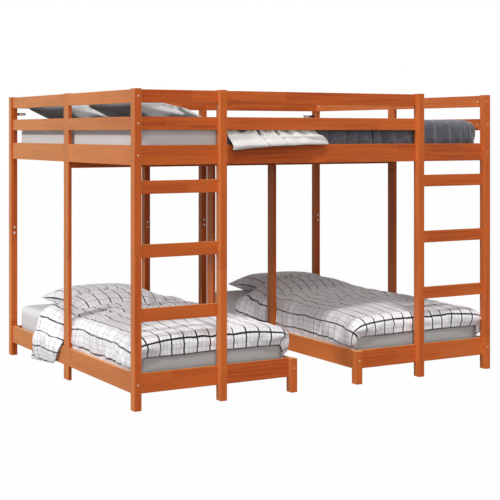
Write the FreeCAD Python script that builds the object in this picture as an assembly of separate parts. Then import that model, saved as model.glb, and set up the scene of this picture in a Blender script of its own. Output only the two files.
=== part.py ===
import FreeCAD, Part
import math
import os

# Triple bunk bed in solid pine: a wide platform bed carried on tall posts over two
# separate lower beds. The two ladders are built into the front of the frame.
# Millimetres. X runs along the front, Y from the front to the back, Z up. The part is
# drawn from its front left corner and moved at the end, so that the origin lies on the
# floor under the middle of the bed.

# Overall size
overall_depth = 1692.0
post_height = 1443.0
lower_bed_width = 855.0
aisle_width = 345.0
overall_width = 2 * lower_bed_width + aisle_width

# Timber sections
post_width = 35.0
post_depth = 45.0
board_thickness = 18.0
plank_width = 65.0
beam_thickness = 35.0
beam_height = 60.0
slat_width = 70.0
slat_thickness = 16.0
cleat_width = 20.0
cleat_height = 28.0
corner_ease = 1.5
rod_sides = 12

# Width of a rung, between the two posts of a ladder
ladder_width = 401.0

# Heights of the rails
guard_height = 60.0
rail_height = 90.0
rung_height = 60.0
top_guard_drop = 3.0
mid_guard_drop = 126.0
platform_drop = 255.0
lower_rail_top = 162.0
lower_rung_rise = 230.0
top_rung_drop = 130.0
rung_count = 3
post_joint_height = 700.0

# Slatted bases
lower_cleat_rise = 12.0
end_clearance = 2.0
platform_slats_per_row = 13
lower_slats_per_bed = 11

# Corner bolts and barrel nuts
bolt_radius = 4.0
bolt_recess = 2.0
hole_clearance = 0.2
nut_radius = 5.0
nut_length = 13.0
nut_recess = 0.8
nut_pocket_depth = 14.0
nut_setback = 28.0

# Connectors that hold the two lengths of each post together
cam_radius = 6.0
cam_depth = 10.0
cam_offset = 15.5
cam_recess = 0.5

# Wall straps
strap_height_above_platform = 160.0
strap_width = 14.5
strap_thickness = 1.5
strap_tab_length = 34.0
strap_reach = 20.0
plate_length = 42.0
plate_thickness = 2.5
plate_border = 2.5
anchor_hole_radius = 2.5

# Bedding
mattress_thickness = 155.0
mattress_gap = 15.0
mattress_corner_radius = 45.0
mattress_edge_ease = 12.0
soft_clearance = 0.3
duvet_thickness = 15.0
duvet_side = 12.0
duvet_crown = 14.0
duvet_dip_share = 0.45
duvet_shoulder = 34.0
foot_drop = 62.0
side_drop = 128.0
pillow_length = 590.0
pillow_width = 420.0
platform_pillow_thickness = 92.0
lower_pillow_thickness = 136.0
pillow_belly_share = 0.4
pillow_rise_shares = ((-1, 0), (-0.85, 0.42), (-0.5, 0.85), (0, 1), (0.5, 0.85), (0.85, 0.42), (1, 0))
pillow_place_shares = (-0.5, -0.43, -0.25, 0.0, 0.25, 0.43, 0.5)
pillow_fullness_shares = (0.2, 0.55, 0.88, 1.0, 0.88, 0.55, 0.2)
pillow_waist_shares = (0.0, 0.5, 0.9, 1.0, 0.9, 0.5, 0.0)
pillow_seam = 14.0
pillow_draw_in = 22.0
pillow_tilt = 10.0
lower_pillow_tilt = 4.0
pillow_side_gap = 70.0
pillow_head_gap = 24.0
fold_start = 505.0
fold_end = 1045.0
fold_thickness = 10.0
fold_hang = 26.0
fold_stand_off = 1.2
corner_start = 880.0
corner_end = 1320.0
corner_hang = 92.0
corner_thickness = 6.5

overrun = 1.0

# Levels and places that follow from the sizes above
post_inner = overall_depth - post_depth
board_inset = (post_width - board_thickness) / 2
plank_front = (overall_depth - plank_width) / 2
plank_back = plank_front + plank_width
top_guard_top = post_height - top_guard_drop
mid_guard_top = post_height - mid_guard_drop
platform_rail_top = post_height - platform_drop
platform_rail_bottom = platform_rail_top - rail_height
lower_rail_bottom = lower_rail_top - rail_height
platform_cleat_top = platform_rail_bottom + cleat_height
platform_base = platform_cleat_top + slat_thickness
lower_cleat_bottom = lower_rail_bottom + lower_cleat_rise
lower_cleat_top = lower_cleat_bottom + cleat_height
lower_base = lower_cleat_top + slat_thickness
beam_bottom = platform_cleat_top - beam_height
lower_rung_bottom = lower_rail_top + lower_rung_rise
rung_pitch = (platform_rail_bottom - top_rung_drop - lower_rung_bottom) / (rung_count - 1)

# Left edge of each column of posts, named from left to right
left_column = 0
left_ladder_column = post_width + ladder_width
inner_left_column = lower_bed_width - post_width
inner_right_column = overall_width - lower_bed_width
right_ladder_column = overall_width - 2 * post_width - ladder_width
right_column = overall_width - post_width

centring = FreeCAD.Vector(-overall_width / 2, -overall_depth / 2, 0)
along_x = FreeCAD.Vector(1, 0, 0)
along_y = FreeCAD.Vector(0, 1, 0)
along_z = FreeCAD.Vector(0, 0, 1)


def block(x, y, z):
    """A box between the two ends given for each axis."""
    corner = FreeCAD.Vector(x[0], y[0], z[0])
    return Part.makeBox(x[1] - x[0], y[1] - y[0], z[1] - z[0], corner)


def rod(radius, length, start, direction):
    """A thin level bar, or the hole for one, with as many sides as its small size needs."""
    centre = FreeCAD.Vector(*start)
    across = direction.cross(along_z)
    turns = [2 * math.pi * k / rod_sides for k in range(rod_sides + 1)]
    rim = [centre + across * radius * math.cos(t) + along_z * radius * math.sin(t) for t in turns]
    return Part.Face(Part.makePolygon(rim)).extrude(direction * length)


def edges_along(solid, direction):
    return [e for e in solid.Edges if abs(e.tangentAt(e.FirstParameter).dot(direction)) > 1 / 2]


def save(name, solids):
    moved = Part.makeCompound([s.translated(centring) for s in solids])
    moved.exportStep(os.path.join("parts", name + ".step"))


# Rows of boards: bottom and top of each
rows = {
    "top_guard": (top_guard_top - guard_height, top_guard_top),
    "mid_guard": (mid_guard_top - guard_height, mid_guard_top),
    "platform_rail": (platform_rail_bottom, platform_rail_top),
    "bed_rail": (lower_rail_bottom, lower_rail_top),
}
upper_rows = ("top_guard", "mid_guard", "platform_rail")
end_rows = tuple(rows)


def row_middle(row):
    return (rows[row][0] + rows[row][1]) / 2


# The planes of boards that run from front to back: the column they stand in, the side
# of it that faces the mattress, and the rows that they have
side_planes = {
    "left_end": (left_column, 1, end_rows),
    "left_bed_inner": (inner_left_column, -1, ("bed_rail",)),
    "right_bed_inner": (inner_right_column, 1, ("bed_rail",)),
    "right_end": (right_column, -1, end_rows),
}


# Corner bolts: one on the middle of each row, through the post into the end of a board.
# Each pulls on a barrel nut that lies across the board.
nut_line = post_depth + nut_setback


def bolt_line(x, z, from_front, radius, start, end):
    """A rod through a post, between two distances from its outer face."""
    outer = 0 if from_front else overall_depth
    inward = 1 if from_front else -1
    return rod(radius, end - start, (x, outer + inward * start, z), along_y * inward)


def bolt_hole(x, z, from_front):
    return bolt_line(x, z, from_front, bolt_radius + hole_clearance, 0, nut_line)


def corner_bolt(x, z, from_front):
    tip = nut_line - nut_radius - hole_clearance
    return bolt_line(x, z, from_front, bolt_radius, bolt_recess, tip)


def nut_pocket(column, facing, y, z):
    """A blind hole across a board, open on the side that faces the mattress."""
    face = column + post_width / 2 + facing * board_thickness / 2
    return rod(nut_radius + hole_clearance, nut_pocket_depth + overrun,
               (face + facing * overrun, y, z), along_x * -facing)


def barrel_nut(column, facing, y, z):
    face = column + post_width / 2 + facing * (board_thickness / 2 - nut_recess)
    return rod(nut_radius, nut_length, (face, y, z), along_x * -facing)


# Posts: each is a lower and an upper length that meet at one height
def post(column, front, levels, bottom, top, pockets=()):
    y = (0, post_depth) if front else (post_inner, overall_depth)
    solid = block((column, column + post_width), y, (bottom, top))
    solid = solid.makeChamfer(corner_ease, edges_along(solid, along_z))
    middle = column + post_width / 2
    for level in levels:
        if bottom < level < top:
            solid = solid.cut(bolt_hole(middle, level, front))
    for pocket in pockets:
        solid = solid.cut(pocket)
    return solid


def cam_lines(column, front, radius, recess):
    """Short rods set in the inner face of a post, one each side of its joint."""
    face = post_depth if front else post_inner
    outward = 1 if front else -1
    middle = column + post_width / 2
    return [
        rod(radius, cam_depth - recess,
            (middle, face - outward * recess, post_joint_height + side * cam_offset), along_y * -outward)
        for side in (-1, 1)
    ]


front_columns = {
    "front_left_post": (left_column, end_rows),
    "left_ladder_post": (left_ladder_column, ()),
    "right_ladder_post": (right_ladder_column, ()),
    "front_right_post": (right_column, end_rows),
}
back_columns = {
    "back_left_post": (left_column, end_rows),
    "back_inner_left_post": (inner_left_column, ("bed_rail",)),
    "back_inner_right_post": (inner_right_column, ("bed_rail",)),
    "back_right_post": (right_column, end_rows),
}

parts = {}
cam_locks = []
for columns, front in ((front_columns, True), (back_columns, False)):
    for name, (column, bolted_rows) in columns.items():
        levels = [row_middle(row) for row in bolted_rows]
        pockets = cam_lines(column, front, cam_radius + hole_clearance, 0)
        cam_locks += cam_lines(column, front, cam_radius, cam_recess)
        parts[name + "_lower"] = [post(column, front, levels, 0, post_joint_height, pockets[:1])]
        parts[name + "_upper"] = [post(column, front, levels, post_joint_height, post_height, pockets[1:])]

# Short front legs of the lower beds
parts["short_front_legs"] = [
    post(column, True, [row_middle("bed_rail")], 0, lower_rail_top)
    for column in (inner_left_column, inner_right_column)
]

# Boards from front to back, each in two lengths that meet at the middle plank
corner_bolts = []
barrel_nuts = []
for plane, (column, facing, plane_rows) in side_planes.items():
    x = (column + board_inset, column + board_inset + board_thickness)
    middle = column + post_width / 2
    for row in plane_rows:
        z = row_middle(row)
        halves = []
        for front in (True, False):
            y = (post_depth, plank_front) if front else (plank_back, post_inner)
            nut_y = nut_line if front else overall_depth - nut_line
            half = block(x, y, rows[row]).cut(bolt_hole(middle, z, front))
            halves.append(half.cut(nut_pocket(column, facing, nut_y, z)))
            corner_bolts.append(corner_bolt(middle, z, front))
            barrel_nuts.append(barrel_nut(column, facing, nut_y, z))
        parts[plane + "_" + row if len(plane_rows) > 1 else plane + "_rail"] = halves

# Middle planks: upright boards halfway along each side. The outer ones reach the top,
# and the inner ones stop under the beam.
plank_lower = []
plank_upper = []
for column, facing, plane_rows in side_planes.values():
    x = (column + board_inset, column + board_inset + board_thickness)
    top = post_height if len(plane_rows) > 1 else beam_bottom
    plank_lower.append(block(x, (plank_front, plank_back), (0, post_joint_height)))
    plank_upper.append(block(x, (plank_front, plank_back), (post_joint_height, top)))
parts["middle_planks_lower"] = plank_lower
parts["middle_planks_upper"] = plank_upper

# Boards along the front and back, flush with the inner faces of the posts
front_face = (post_depth - board_thickness, post_depth)
back_face = (post_inner, post_inner + board_thickness)


def boards_between(columns, y, z):
    """A board in each gap between neighbouring posts."""
    return [block((a + post_width, b), y, z) for a, b in columns]


left_ladder_bay = (left_column, left_ladder_column)
middle_bay = (left_ladder_column, right_ladder_column)
right_ladder_bay = (right_ladder_column, right_column)
parts["front_top_guard"] = boards_between((left_ladder_bay, middle_bay), front_face, rows["top_guard"])
parts["front_mid_guard"] = boards_between((left_ladder_bay, middle_bay), front_face, rows["mid_guard"])
parts["front_platform_rail"] = boards_between(
    (left_ladder_bay, middle_bay, right_ladder_bay), front_face, rows["platform_rail"])
back_bays = (
    (left_column, inner_left_column),
    (inner_left_column, inner_right_column),
    (inner_right_column, right_column),
)
for row in upper_rows:
    parts["back_" + row] = boards_between(back_bays, back_face, rows[row])
parts["left_bed_front_rail"] = boards_between(
    (left_ladder_bay, (left_ladder_column, inner_left_column)), front_face, rows["bed_rail"])
parts["right_bed_front_rail"] = boards_between(
    ((inner_right_column, right_ladder_column), right_ladder_bay), front_face, rows["bed_rail"])
parts["lower_bed_back_rails"] = boards_between((back_bays[0], back_bays[-1]), back_face, rows["bed_rail"])
for side, bay in (("left", left_ladder_bay), ("right", right_ladder_bay)):
    parts[side + "_ladder_rungs"] = [
        boards_between((bay,), front_face, (bottom, bottom + rung_height))[0]
        for bottom in (lower_rung_bottom + k * rung_pitch for k in range(rung_count))
    ]

# Beam under the middle of the platform, between the outer planks
side_inner = board_inset + board_thickness
beam_x = (side_inner, overall_width - side_inner)
beam_y = ((overall_depth - beam_thickness) / 2, (overall_depth + beam_thickness) / 2)
parts["platform_beam"] = [block(beam_x, beam_y, (beam_bottom, platform_cleat_top))]

# Cleats that carry the ends of the slats
platform_cleat_x = (post_width, overall_width - post_width)
platform_cleat_z = (platform_rail_bottom, platform_cleat_top)
parts["platform_cleats"] = [
    block(platform_cleat_x, (post_depth, post_depth + cleat_width), platform_cleat_z),
    block(platform_cleat_x, (post_inner - cleat_width, post_inner), platform_cleat_z),
]
lower_cleat_z = (lower_cleat_bottom, lower_cleat_top)
bed_starts = {"left": left_column, "right": inner_right_column}
lower_cleats = []
for start in bed_starts.values():
    low = start + side_inner
    high = start + lower_bed_width - side_inner
    for x in ((low, low + cleat_width), (high - cleat_width, high)):
        lower_cleats.append(block(x, (post_depth, post_inner), lower_cleat_z))
parts["lower_bed_cleats"] = lower_cleats


# Slats: one length serves every bed, lengthways in two rows on the platform and
# crossways on the lower beds
def spread(low, high, width, count):
    """Starts of evenly spaced strips, with half a gap at each end."""
    pitch = (high - low) / count
    return [low + pitch * (k + 1 / 2) - width / 2 for k in range(count)]


platform_slats = []
for start in spread(beam_x[0], beam_x[1], slat_width, platform_slats_per_row):
    for y in ((post_depth + end_clearance, (overall_depth - end_clearance) / 2),
              ((overall_depth + end_clearance) / 2, post_inner - end_clearance)):
        platform_slats.append(block((start, start + slat_width), y, (platform_cleat_top, platform_base)))
parts["platform_slats"] = platform_slats
lower_slats = []
for start in bed_starts.values():
    x = (start + side_inner + end_clearance / 2, start + lower_bed_width - side_inner - end_clearance / 2)
    for y in spread(post_depth, post_inner, slat_width, lower_slats_per_bed):
        lower_slats.append(block(x, (y, y + slat_width), (lower_cleat_top, lower_base)))
parts["lower_bed_slats"] = lower_slats

parts["corner_bolts"] = corner_bolts
parts["barrel_nuts"] = barrel_nuts
parts["post_cam_locks"] = cam_locks

# Straps that tie the back corner posts to the wall
strap_z = (platform_rail_top + strap_height_above_platform - strap_width / 2,
           platform_rail_top + strap_height_above_platform + strap_width / 2)
strap_back = overall_depth - plate_thickness
strap_front = strap_back - strap_thickness


def strap_x(post_side, inward, near, far):
    """Two ends of a piece of the strap, measured inwards from the side of its post."""
    return tuple(sorted((post_side + inward * near, post_side + inward * far)))


wall_straps = []
wall_plates = []
for post_side, inward in ((post_width, 1), (overall_width - post_width, -1)):
    plate_end = strap_reach + plate_length
    tab = block(strap_x(post_side, inward, 0, strap_thickness),
                (strap_back - strap_tab_length, strap_back), strap_z)
    run = block(strap_x(post_side, inward, 0, plate_end), (strap_front, strap_back), strap_z)
    frame = block(strap_x(post_side, inward, strap_reach, plate_end), (strap_back, overall_depth), strap_z)
    plate = block(
        strap_x(post_side, inward, strap_reach + plate_border, plate_end - plate_border),
        (strap_front, overall_depth), (strap_z[0] + plate_border, strap_z[1] - plate_border))
    hole_start = FreeCAD.Vector(plate.CenterOfMass.x, strap_front - overrun, plate.CenterOfMass.z)
    hole = Part.makeCylinder(
        anchor_hole_radius, plate_thickness + strap_thickness + 2 * overrun, hole_start, along_y)
    wall_straps.append(tab.fuse(run).fuse(frame).cut(plate).removeSplitter())
    wall_plates.append(plate.cut(hole))
parts["wall_straps"] = wall_straps
parts["wall_strap_plates"] = wall_plates


# Mattresses: firm slabs with rounded corners and eased rims
def mattress(x, y, base):
    slab = block(x, y, (base, base + mattress_thickness))
    slab = slab.makeFillet(mattress_corner_radius, edges_along(slab, along_z))
    rims = [e for e in slab.Edges if abs(e.BoundBox.ZLength) < soft_clearance]
    return slab.makeChamfer(mattress_edge_ease, rims)


def mattress_span(start, length):
    return (start + side_inner + mattress_gap, start + length - side_inner - mattress_gap)


mattress_y = (post_depth + mattress_gap, post_inner - mattress_gap)
platform_span = mattress_span(left_column, overall_width)
parts["platform_mattress"] = [mattress(platform_span, mattress_y, platform_base)]
bed_spans = {side: mattress_span(start, lower_bed_width) for side, start in bed_starts.items()}
for side, span in bed_spans.items():
    parts[side + "_bed_mattress"] = [mattress(span, mattress_y, lower_base)]


# Pillows: crowned, with sides that draw in between the four corners
def lens(width, thickness, y):
    """One cross-section of a pillow: a crowned top and belly between two short seams."""
    seam = pillow_seam / 2
    belly = thickness * pillow_belly_share
    crown = thickness - belly
    top = [(place, seam + (crown - seam) * rise) for place, rise in pillow_rise_shares]
    bottom = [(-place, -seam - (belly - seam) * rise) for place, rise in pillow_rise_shares]
    return [FreeCAD.Vector(place * width / 2, y, z) for place, z in top + bottom]


def flat_face(points):
    return Part.Face(Part.makePolygon(points + points[:1]))


def pillow(thickness):
    """A pillow whose length runs along Y, centred on the origin."""
    sections = [
        lens(pillow_width - pillow_draw_in * waist, thickness * fullness, pillow_length * place)
        for place, fullness, waist in zip(pillow_place_shares, pillow_fullness_shares, pillow_waist_shares)
    ]
    faces = [flat_face(sections[0]), flat_face(sections[-1])]
    for near, far in zip(sections, sections[1:]):
        near_ends = near[1:] + near[:1]
        far_ends = far[1:] + far[:1]
        for a, b, c, d in zip(near, near_ends, far, far_ends):
            faces.append(flat_face([a, b, c]))
            faces.append(flat_face([b, d, c]))
    return Part.makeSolid(Part.makeShell(faces))


def pillow_on(solid, floor_level):
    """Lower a pillow onto a surface and flatten it where it rests."""
    sink = pillow_seam
    box = solid.BoundBox
    solid.translate(FreeCAD.Vector(0, 0, floor_level + soft_clearance - sink - box.ZMin))
    box = solid.BoundBox
    below = block((box.XMin - overrun, box.XMax + overrun), (box.YMin - overrun, box.YMax + overrun),
                  (box.ZMin - overrun, floor_level + soft_clearance))
    return solid.cut(below)


mattress_top = platform_base + mattress_thickness
platform_pillows = []
for y in (mattress_y[0] + pillow_side_gap + pillow_length / 2,
          mattress_y[1] - pillow_side_gap - pillow_length / 2):
    leaning = pillow(platform_pillow_thickness)
    leaning.rotate(FreeCAD.Vector(0, 0, 0), along_y, pillow_tilt)
    leaning = pillow_on(leaning, mattress_top)
    leaning.translate(FreeCAD.Vector(platform_span[0] - leaning.BoundBox.XMin, y, 0))
    platform_pillows.append(leaning)
parts["platform_pillows"] = platform_pillows

lower_mattress_top = lower_base + mattress_thickness
for side, span in bed_spans.items():
    resting = pillow(lower_pillow_thickness)
    resting.rotate(FreeCAD.Vector(0, 0, 0), along_z, 90)
    resting.rotate(FreeCAD.Vector(0, 0, 0), along_x, lower_pillow_tilt)
    resting = pillow_on(resting, lower_mattress_top)
    back = mattress_y[1] - pillow_head_gap - resting.BoundBox.YMax
    resting.translate(FreeCAD.Vector((span[0] + span[1]) / 2, back, 0))
    parts[side + "_bed_pillow"] = [resting]


# Duvets: a crowned top with a fold along it, and sides that hang beside the mattress
def duvet_section(span, low, top, fold_share, fullness):
    """Outline across a duvet, as (side, height) points joined by lines and arcs."""
    left = span[0] - duvet_side
    right = span[1] + duvet_side
    shoulder = top - duvet_shoulder
    fold = left + (right - left) * fold_share
    crown = top + duvet_crown * fullness
    bend = duvet_shoulder * (1 - math.sqrt(1 / 2))
    dip = top + duvet_crown * fullness * duvet_dip_share
    return [
        ("line", (left, low), (left, shoulder)),
        ("arc", (left, shoulder), (left + bend, top - bend), (left + duvet_shoulder, top)),
        ("arc", (left + duvet_shoulder, top), ((left + duvet_shoulder + fold) / 2, crown), (fold, dip)),
        ("arc", (fold, dip), ((fold + right - duvet_shoulder) / 2, crown), (right - duvet_shoulder, top)),
        ("arc", (right - duvet_shoulder, top), (right - bend, top - bend), (right, shoulder)),
        ("line", (right, shoulder), (right, low)),
        ("line", (right, low), (left, low)),
    ]


def duvet(span, run, base, fold_shares, fullness_shares, crossways):
    """A duvet over a mattress, lofted along its length and hollowed by the mattress."""
    sections = []
    top = base + mattress_thickness + duvet_thickness
    count = len(fold_shares) - 1
    for k, (fold_share, fullness) in enumerate(zip(fold_shares, fullness_shares)):
        place = run[0] + (run[1] - run[0]) * k / count
        edges = []
        outline = duvet_section(span, base + mattress_thickness - side_drop, top, fold_share, fullness)
        for kind, *points in outline:
            spots = [FreeCAD.Vector(place, s, z) if crossways else FreeCAD.Vector(s, place, z)
                     for s, z in points]
            curve = Part.Arc(*spots) if kind == "arc" else Part.LineSegment(*spots)
            edges.append(curve.toShape())
        sections.append(Part.Wire(edges))
    return Part.makeLoft(sections, True, True)


def hollow_for(x, y, base):
    """Room for a mattress, with the clearance that soft pieces keep."""
    return block((x[0] - soft_clearance, x[1] + soft_clearance),
                 (y[0] - soft_clearance, y[1] + soft_clearance),
                 (base - overrun, base + mattress_thickness + soft_clearance))


lower_fold_shares = {"left": (0.62, 0.5, 0.38, 0.45), "right": (0.4, 0.5, 0.62, 0.55)}
lower_fullness_shares = {"left": (0.5, 1.0, 0.8, 0.5), "right": (0.4, 0.9, 1.0, 0.6)}
duvet_foot = mattress_y[0] - duvet_side
duvet_head = mattress_y[1] - pillow_head_gap - pillow_width - pillow_seam
for side, span in bed_spans.items():
    cover = duvet(span, (duvet_foot, duvet_head), lower_base,
                  lower_fold_shares[side], lower_fullness_shares[side], False)
    cover = cover.cut(hollow_for(span, mattress_y, lower_base))
    foot_gap = block((span[0] - duvet_side, span[1] + duvet_side), (duvet_foot - overrun, mattress_y[0]),
                     (lower_base, lower_mattress_top - foot_drop))
    cover = cover.cut(foot_gap)
    if side == "left":
        outer = (board_inset - fold_stand_off - corner_thickness, board_inset - fold_stand_off)
        over = block((outer[0], span[0] - duvet_side + overrun), (corner_start, corner_end),
                     (lower_rail_top + fold_stand_off, lower_rail_top + fold_stand_off + fold_thickness))
        hang = block(outer, (corner_start, corner_end),
                     (lower_rail_top - corner_hang, lower_rail_top + fold_stand_off + fold_thickness))
        cover = cover.fuse(over.fuse(hang))
    parts[side + "_bed_duvet"] = [cover]

# The platform duvet lies crossways, and one stretch of it folds out over the front rail
platform_foot = platform_span[1] + duvet_side
platform_head = platform_span[0] + pillow_width + pillow_seam
cover = duvet(mattress_y, (platform_head, platform_foot), platform_base,
              (0.45, 0.5, 0.55, 0.42), (0.5, 0.9, 0.7, 0.5), True)
cover = cover.cut(hollow_for(platform_span, mattress_y, platform_base))
fold_y = (front_face[0] - fold_stand_off - fold_thickness, mattress_y[0] - duvet_side + overrun)
fold_z = (platform_rail_top + fold_stand_off, platform_rail_top + fold_stand_off + fold_thickness)
over = block((fold_start, fold_end), fold_y, fold_z)
hang = block((fold_start, fold_end), (fold_y[0], fold_y[0] + fold_thickness),
             (platform_rail_top - fold_hang, fold_z[1]))
parts["platform_duvet"] = [cover.fuse(over.fuse(hang))]

os.makedirs("parts", exist_ok=True)
for name, solids in parts.items():
    save(name, solids)
print(len(parts), "nodes,", sum(len(s) for s in parts.values()), "pieces")
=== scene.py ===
import bpy
import bmesh
import math
import random
import numpy as np
from mathutils import Matrix, Vector, noise
from mathutils.bvhtree import BVHTree


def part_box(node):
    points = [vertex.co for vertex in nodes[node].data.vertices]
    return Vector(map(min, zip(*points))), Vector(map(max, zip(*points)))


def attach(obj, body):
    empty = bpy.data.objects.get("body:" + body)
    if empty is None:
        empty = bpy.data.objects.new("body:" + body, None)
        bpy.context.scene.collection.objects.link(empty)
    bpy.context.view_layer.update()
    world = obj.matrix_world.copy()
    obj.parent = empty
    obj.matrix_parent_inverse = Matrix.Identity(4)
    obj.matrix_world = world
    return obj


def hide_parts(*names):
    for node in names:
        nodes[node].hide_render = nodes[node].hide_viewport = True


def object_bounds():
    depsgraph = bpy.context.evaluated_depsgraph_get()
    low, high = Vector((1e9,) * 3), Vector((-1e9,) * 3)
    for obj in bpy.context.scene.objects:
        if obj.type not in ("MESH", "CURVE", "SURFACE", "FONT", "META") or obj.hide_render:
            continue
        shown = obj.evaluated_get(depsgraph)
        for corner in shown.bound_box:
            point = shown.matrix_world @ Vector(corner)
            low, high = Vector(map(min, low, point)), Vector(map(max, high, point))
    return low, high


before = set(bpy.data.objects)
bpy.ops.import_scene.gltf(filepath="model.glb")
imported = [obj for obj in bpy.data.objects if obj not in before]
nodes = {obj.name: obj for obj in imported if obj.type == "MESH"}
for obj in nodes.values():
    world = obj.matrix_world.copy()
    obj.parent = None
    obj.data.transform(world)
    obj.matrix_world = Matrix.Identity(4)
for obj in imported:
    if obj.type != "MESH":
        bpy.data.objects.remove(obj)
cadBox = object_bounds()
black, white = (0, 0, 0, 1), (1, 1, 1, 1)
weld = 0.00002    # points closer than this are one


# small helpers

def clamp(t, low=0.0, high=1.0):
    return min(max(t, low), high)


def smooth(t):  # eased step from 0 to 1
    t = clamp(t)
    return t * t * (3 - 2 * t)


def mix(a, b, t):
    return a + (b - a) * t


def stepsOf(way):  # how far along a bent way each of its points lies
    return np.concatenate(([0.0], np.cumsum([math.dist(p, q) for p, q in zip(way, way[1:])])))


def onWay(way, steps, s):  # the place s along it
    return [float(np.interp(s, steps, column)) for column in zip(*way)]


def srgb(r, g, b):  # a colour as seen on screen, 0 to 255, made linear
    def one(c):
        c = c / 255
        return c / 12.92 if c <= 0.04045 else ((c + 0.055) / 1.055) ** 2.4
    return (one(r), one(g), one(b), 1.0)


def link(obj):
    bpy.context.scene.collection.objects.link(obj)
    return obj


def applied(obj):  # bakes the modifiers into a plain mesh
    deps = bpy.context.evaluated_depsgraph_get()
    mesh = bpy.data.meshes.new_from_object(obj.evaluated_get(deps), depsgraph=deps)
    obj.modifiers.clear()
    old = obj.data
    obj.data = mesh
    mesh.name = obj.name
    if old.users == 0:
        bpy.data.meshes.remove(old)
    return obj


def shadeSmooth(obj):
    obj.data.polygons.foreach_set("use_smooth", [True] * len(obj.data.polygons))
    obj.data.update()


def meshOf(bm, name):
    mesh = bpy.data.meshes.new(name)
    bm.to_mesh(mesh)
    bm.free()
    return mesh


def looseParts(bm):  # points, lowest corner and highest corner of one loose solid after another
    left = set(bm.verts)
    while left:
        start = min(left, key=lambda v: (round(v.co.z, 4), round(v.co.y, 4), round(v.co.x, 4)))
        part, edge = {start}, [start]
        while edge:
            for e in edge.pop().link_edges:
                for v in e.verts:
                    if v not in part:
                        part.add(v)
                        edge.append(v)
        left -= part
        low, high = (Vector([pick(v.co[k] for v in part) for k in range(3)]) for pick in (min, max))
        yield part, low, high


def finishPiece(obj, material, slot, *replaced):
    obj.data.materials.clear()
    obj.data.materials.append(material)
    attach(obj, "root")
    if replaced:
        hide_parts(*replaced)
    return obj


# camera

camera = {
    "place": (-3.3627, -5.9520, 1.2452),
    "turn": 30.15,       # degrees from +Y towards +X
    "lens": 90.32, "sensor": 36, "seesTo": 60,
    "shift": (-0.014, -0.235),
}
camData = bpy.data.cameras.new("photoCamera")
camData.lens = camera["lens"]
camData.sensor_width = camera["sensor"]
camData.shift_x, camData.shift_y = camera["shift"]
camData.clip_end = camera["seesTo"]
cam = link(bpy.data.objects.new("photoCamera", camData))
cam.location = camera["place"]
cam.rotation_euler = (math.radians(90), 0, math.radians(-camera["turn"]))
bpy.context.scene.camera = cam


# node tree helpers

class Tree:
    def __init__(self, tree):
        self.tree = tree

    def plug(self, socket, value):
        if isinstance(value, bpy.types.NodeSocket):
            self.tree.links.new(value, socket)
        else:
            socket.default_value = value

    def fill(self, node, inputs):
        for key, value in inputs.items():
            self.plug(node.inputs[key], value)
        return node

    def add(self, kind, inputs=None, **props):
        node = self.tree.nodes.new(kind)
        for key, value in props.items():
            setattr(node, key, value)
        return self.fill(node, inputs or {})

    def math(self, operation, *values, clamp=False):
        node = self.add("ShaderNodeMath", dict(enumerate(values)), operation=operation, use_clamp=clamp)
        return node.outputs[0]

    def plus(self, a, b, clamp=False):
        return self.math("ADD", a, b, clamp=clamp)

    def minus(self, a, b):
        return self.math("SUBTRACT", a, b)

    def times(self, a, b):
        return self.math("MULTIPLY", a, b)

    def total(self, *pairs):  # adds up values, each by its share
        result = self.times(*pairs[0])
        for pair in pairs[1:]:
            result = self.plus(result, self.times(*pair))
        return result

    def scaled(self, vector, by):
        return self.add("ShaderNodeVectorMath", {0: vector, 1: by}, operation="MULTIPLY").outputs[0]

    def split(self, vector):
        return self.add("ShaderNodeSeparateXYZ", {0: vector}).outputs

    def attribute(self, name, output="Fac"):
        node = self.add("ShaderNodeAttribute", attribute_name=name, attribute_type="GEOMETRY")
        return node.outputs[output]

    def group(self, tree, inputs):
        return self.add("ShaderNodeGroup", inputs, node_tree=tree).outputs

    def bump(self, strength, distance, height):
        node = self.add("ShaderNodeBump", {"Strength": strength, "Distance": distance, "Height": height})
        return node.outputs[0]

    def mixShader(self, share, first, second):
        return self.add("ShaderNodeMixShader", {0: share, 1: first.outputs[0], 2: second.outputs[0]})

    def ramp(self, value, low, high, outLow=0.0, outHigh=1.0):
        node = self.add("ShaderNodeMapRange", {
            "Value": value, "From Min": low, "From Max": high, "To Min": outLow, "To Max": outHigh},
            interpolation_type="SMOOTHSTEP")
        return node.outputs["Result"]

    def blend(self, factor, a, b):
        return self.add("ShaderNodeMix", {"Factor": factor, 6: a, 7: b}, data_type="RGBA").outputs[2]

    def noise(self, vector, scale, detail, rough, distortion=0.0):
        node = self.add("ShaderNodeTexNoise", {
            "Vector": vector, "Scale": scale, "Detail": detail, "Roughness": rough,
            "Distortion": distortion})
        return node.outputs["Fac"]


def newGroup(name, inputs, outputs, kind="ShaderNodeTree"):
    group = bpy.data.node_groups.new(name, kind)
    for title, socketKind, *default in inputs:
        socket = group.interface.new_socket(title, in_out="INPUT", socket_type=socketKind)
        if default:
            socket.default_value = default[0]
    for title, socketKind in outputs:
        group.interface.new_socket(title, in_out="OUTPUT", socket_type=socketKind)
    t = Tree(group)
    return t, t.add("NodeGroupInput"), t.add("NodeGroupOutput")


def newMaterial(name):
    material = bpy.data.materials.new(name)
    material.use_nodes = True
    return material, Tree(material.node_tree), material.node_tree.nodes["Principled BSDF"]


# shader groups

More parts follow.
